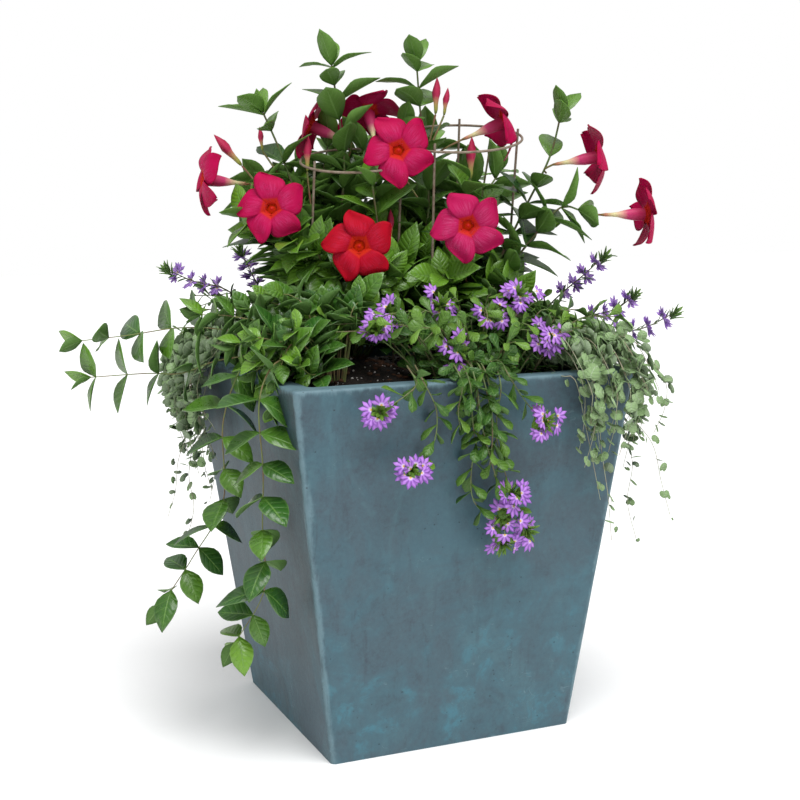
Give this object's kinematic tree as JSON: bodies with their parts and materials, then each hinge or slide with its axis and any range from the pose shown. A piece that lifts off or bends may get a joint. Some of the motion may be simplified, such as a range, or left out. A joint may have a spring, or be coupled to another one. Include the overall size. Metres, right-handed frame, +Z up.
{
  "type": "planter box",
  "caption": "Tall square planter box that tapers to its base, cast with a thick flat rim, filled and planted with flowering climbers on wire hoops and trailing plants.",
  "frame": {"origin": "centre of the flat underside, where the planter rests on the ground", "axes": "+Z up; -Y is the front face, where the scaevola hangs; +X is the viewer's right when facing the front"},
  "size_m": [0.8369, 0.6124, 0.94],
  "materials": {
    "cast_shell": "matte",
    "screen_mesh": "matte",
    "gravel": "matte",
    "filter_cloth": "matte",
    "soil": "matte",
    "root_mass": "matte",
    "hoop_wire": "satin",
    "mandevilla_stem": "matte",
    "mandevilla_leaf": "gloss",
    "mandevilla_petal": "satin",
    "mandevilla_bud": "satin",
    "soft_stem": "matte",
    "vinca_leaf": "gloss",
    "scaevola_leaf": "satin",
    "scaevola_petal": "satin",
    "thread_stem": "matte",
    "dichondra_leaf": "matte"
  },
  "bodies": {
    "root": {"dichondra_left_crown": "dichondra_leaf", "dichondra_left_roots": "root_mass", "dichondra_left_strands": "thread_stem", "dichondra_right_crown": "dichondra_leaf", "dichondra_right_roots": "root_mass", "dichondra_right_strands": "thread_stem", "drain_screens": "screen_mesh", "drainage_gravel": "gravel", "filter_fabric": "filter_cloth", "hoop_left_legs": "hoop_wire", "hoop_left_ring": "hoop_wire", "hoop_right_legs": "hoop_wire", "hoop_right_ring": "hoop_wire", "mandevilla_buds": "mandevilla_bud", "mandevilla_flower_1": "mandevilla_petal", "mandevilla_flower_10": "mandevilla_petal", "mandevilla_flower_2": "mandevilla_petal", "mandevilla_flower_3": "mandevilla_petal", "mandevilla_flower_4": "mandevilla_petal", "mandevilla_flower_5": "mandevilla_petal", "mandevilla_flower_6": "mandevilla_petal", "mandevilla_flower_7": "mandevilla_petal", "mandevilla_flower_8": "mandevilla_petal", "mandevilla_flower_9": "mandevilla_petal", "mandevilla_left_foliage": "mandevilla_leaf", "mandevilla_left_roots": "root_mass", "mandevilla_left_stems": "mandevilla_stem", "mandevilla_right_foliage": "mandevilla_leaf", "mandevilla_right_roots": "root_mass", "mandevilla_right_stems": "mandevilla_stem", "planter_shell": "cast_shell", "potting_mix": "soil", "scaevola_flowers": "scaevola_petal", "scaevola_front_crown": "scaevola_leaf", "scaevola_front_roots": "root_mass", "scaevola_left_crown": "scaevola_leaf", "scaevola_left_roots": "root_mass", "scaevola_left_sprigs": "soft_stem", "scaevola_right_crown": "scaevola_leaf", "scaevola_right_roots": "root_mass", "scaevola_right_sprigs": "soft_stem", "vinca_crown": "vinca_leaf", "vinca_roots": "root_mass", "vinca_trail_leaves": "vinca_leaf", "vinca_trails": "soft_stem"}
  },
  "joints": []
}
